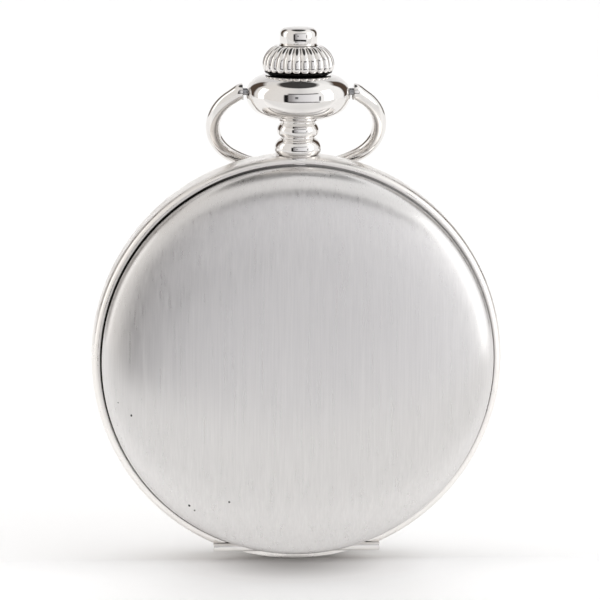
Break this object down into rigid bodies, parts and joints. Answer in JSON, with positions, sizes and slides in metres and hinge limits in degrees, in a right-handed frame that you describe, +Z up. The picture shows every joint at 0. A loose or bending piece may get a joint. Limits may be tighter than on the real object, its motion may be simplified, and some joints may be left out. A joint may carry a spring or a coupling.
{
  "type": "hunter pocket watch",
  "caption": "Round hunter-case pocket watch with a hinged front cover, pendant crown with release button, swinging bow and hand-wound movement.",
  "frame": {"origin": "the middle of the flat of the back cover, level with the middle of the case", "axes": "+Z up from the case's middle to the crown, +X to the right seen from the front, and the front cover faces -Y"},
  "size_m": [0.047, 0.014, 0.0615],
  "materials": {
    "polished_case": "polished, bright silver colour",
    "brushed_cover": "fine vertical brushing, satin",
    "dark_steel": "plain turned steel",
    "spring_steel": "tempered spring steel",
    "blued_steel": "heat-blued, polished",
    "steel_work": "fine grained steel",
    "gilt_brass": "frosted gilt",
    "brass_wheels": "circular grained brass",
    "glass": "clear domed glass",
    "enamel": "white enamel, gloss",
    "black_print": "black print",
    "ruby": "polished synthetic ruby"
  },
  "bodies": {
    "case": {"case_band": "polished_case", "hinge_pin": "dark_steel", "pendant": "polished_case", "pendant_sleeve": "dark_steel", "bow_pins": "dark_steel", "front_bezel": "polished_case", "crystal": "glass", "back_cover": "polished_case", "dust_cover": "polished_case", "movement_ring": "gilt_brass", "case_screws": "blued_steel", "catch_post": "dark_steel", "lift_spring": "spring_steel", "dial": "enamel", "hour_markers": "black_print", "minute_track": "black_print", "main_plate": "gilt_brass", "barrel_bridge": "gilt_brass", "train_bridge": "gilt_brass", "balance_cock": "gilt_brass", "pallet_bridge": "gilt_brass", "bridge_screws": "blued_steel", "jewels": "ruby", "crown_wheel_screw": "blued_steel", "click_post": "blued_steel", "click_spring": "spring_steel"},
    "lid": {"front_cover": "brushed_cover"},
    "bow_body": {"bow": "polished_case"},
    "bush": {"crown_bush": "dark_steel"},
    "crown_body": {"crown": "polished_case", "stem": "dark_steel"},
    "button": {"push_button": "polished_case", "release_collar": "dark_steel"},
    "catch": {"catch_spring": "spring_steel"},
    "winding_pinion_body": {"winding_pinion": "steel_work"},
    "sliding_pinion_body": {"sliding_pinion": "steel_work"},
    "lever": {"setting_lever": "steel_work"},
    "barrel": {"barrel_drum": "brass_wheels", "barrel_cover": "brass_wheels", "mainspring": "spring_steel"},
    "arbor": {"barrel_arbor": "steel_work", "ratchet_wheel": "steel_work", "ratchet_screw": "blued_steel"},
    "crown_wheel_body": {"crown_wheel": "steel_work"},
    "click_body": {"click": "steel_work"},
    "center": {"center_wheel": "brass_wheels", "cannon_pinion": "steel_work", "minute_hand": "blued_steel"},
    "third": {"third_wheel": "brass_wheels"},
    "fourth": {"fourth_wheel": "brass_wheels", "seconds_hand": "blued_steel"},
    "escape": {"escape_wheel": "brass_wheels"},
    "fork": {"pallet_fork": "steel_work", "pallet_stones": "ruby"},
    "balance": {"balance_wheel": "brass_wheels", "balance_staff": "steel_work", "hairspring": "spring_steel"},
    "minute_wheel_body": {"minute_wheel": "brass_wheels"},
    "hour": {"hour_wheel": "brass_wheels", "hour_hand": "blued_steel"}
  },
  "joints": [
    {"name": "lid_hinge", "type": "hinge", "parent": "case", "child": "lid", "pos_m": [0, -0.0094, -0.0217], "axis": [1, 0, 0], "range_deg": [0, 92]},
    {"name": "bow_swing", "type": "hinge", "parent": "case", "child": "bow_body", "pos_m": [0, -0.007, 0.0306], "axis": [1, 0, 0], "range_deg": [0, 293]},
    {"name": "crown_pull", "type": "slide", "parent": "case", "child": "bush", "axis": [0, 0, 1], "range_m": [0, 0.0008]},
    {"name": "crown_turn", "type": "hinge", "parent": "bush", "child": "crown_body", "pos_m": [0, -0.007, 0.02], "axis": [0, 0, 1], "continuous": true},
    {"name": "button_press", "type": "slide", "parent": "crown_body", "child": "button", "axis": [0, 0, -1], "range_m": [0, 0.0007], "stiffness_N_per_m": 900},
    {"name": "catch_flex", "type": "hinge", "parent": "case", "child": "catch", "pos_m": [-0.01693, -0.007, 0.01276], "axis": [0, 1, 0], "range_deg": [0, 2.4]},
    {"name": "winding_pinion_turn", "type": "hinge", "parent": "case", "child": "winding_pinion_body", "pos_m": [0, -0.007, 0.012], "axis": [0, 0, 1], "continuous": true},
    {"name": "sliding_pinion_shift", "type": "slide", "parent": "crown_body", "child": "sliding_pinion_body", "axis": [0, 0, 1], "range_m": [-0.0016, 0]},
    {"name": "lever_turn", "type": "hinge", "parent": "case", "child": "lever", "pos_m": [0.0033, -0.0094, 0.0164], "axis": [0, 1, 0], "range_deg": [0, 18.4]},
    {"name": "crown_wheel_turn", "type": "hinge", "parent": "case", "child": "crown_wheel_body", "pos_m": [0.00087, -0.0045, 0.00927], "axis": [0, -1, 0], "continuous": true},
    {"name": "ratchet_turn", "type": "hinge", "parent": "case", "child": "arbor", "pos_m": [0.00779, -0.0045, 0.0045], "axis": [0, -1, 0], "continuous": true},
    {"name": "click_lift", "type": "hinge", "parent": "case", "child": "click_body", "pos_m": [0.0013, -0.0042, 0.0016], "axis": [0, -1, 0], "range_deg": [0, 10], "stiffness_Nm_per_rad": 0.0004},
    {"name": "fourth_turn", "type": "hinge", "parent": "case", "child": "fourth", "pos_m": [0, -0.007, -0.009], "axis": [0, -1, 0], "continuous": true},
    {"name": "barrel_turn", "type": "hinge", "parent": "case", "child": "barrel", "pos_m": [0.00779, -0.007, 0.0045], "axis": [0, -1, 0], "continuous": true},
    {"name": "center_turn", "type": "hinge", "parent": "case", "child": "center", "pos_m": [0, -0.007, 0], "axis": [0, -1, 0], "continuous": true},
    {"name": "third_turn", "type": "hinge", "parent": "case", "child": "third", "pos_m": [-0.00311, -0.007, -0.00469], "axis": [0, -1, 0], "continuous": true},
    {"name": "escape_turn", "type": "hinge", "parent": "case", "child": "escape", "pos_m": [0.00457, -0.007, -0.01058], "axis": [0, -1, 0], "continuous": true},
    {"name": "fork_swing", "type": "hinge", "parent": "case", "child": "fork", "pos_m": [0.00713, -0.007, -0.00901], "axis": [0, -1, 0], "range_deg": [-2.5, 2.5]},
    {"name": "balance_swing", "type": "hinge", "parent": "case", "child": "balance", "pos_m": [0.0096, -0.007, -0.0075], "axis": [0, -1, 0], "range_deg": [-270, 270]},
    {"name": "minute_wheel_turn", "type": "hinge", "parent": "case", "child": "minute_wheel_body", "pos_m": [-0.0017, -0.009, 0.0017], "axis": [0, -1, 0], "continuous": true},
    {"name": "hour_turn", "type": "hinge", "parent": "case", "child": "hour", "pos_m": [0, -0.01, 0], "axis": [0, -1, 0], "continuous": true}
  ],
  "couplings": [
    {"joint": "catch_flex", "follows": "button_press", "rad_per_m": 56.8},
    {"joint": "sliding_pinion_shift", "follows": "crown_pull", "ratio": -2},
    {"joint": "lever_turn", "follows": "crown_pull", "rad_per_m": 400},
    {"joint": "winding_pinion_turn", "follows": "crown_turn", "ratio": 1},
    {"joint": "crown_wheel_turn", "follows": "crown_turn", "ratio": 0.47059},
    {"joint": "ratchet_turn", "follows": "crown_turn", "ratio": -0.32},
    {"joint": "third_turn", "follows": "fourth_turn", "ratio": -0.13333},
    {"joint": "center_turn", "follows": "fourth_turn", "ratio": 0.016667},
    {"joint": "barrel_turn", "follows": "fourth_turn", "ratio": -0.0020833},
    {"joint": "escape_turn", "follows": "fourth_turn", "ratio": -10},
    {"joint": "minute_wheel_turn", "follows": "fourth_turn", "ratio": -0.0055556},
    {"joint": "hour_turn", "follows": "fourth_turn", "ratio": 0.0013889}
  ]
}
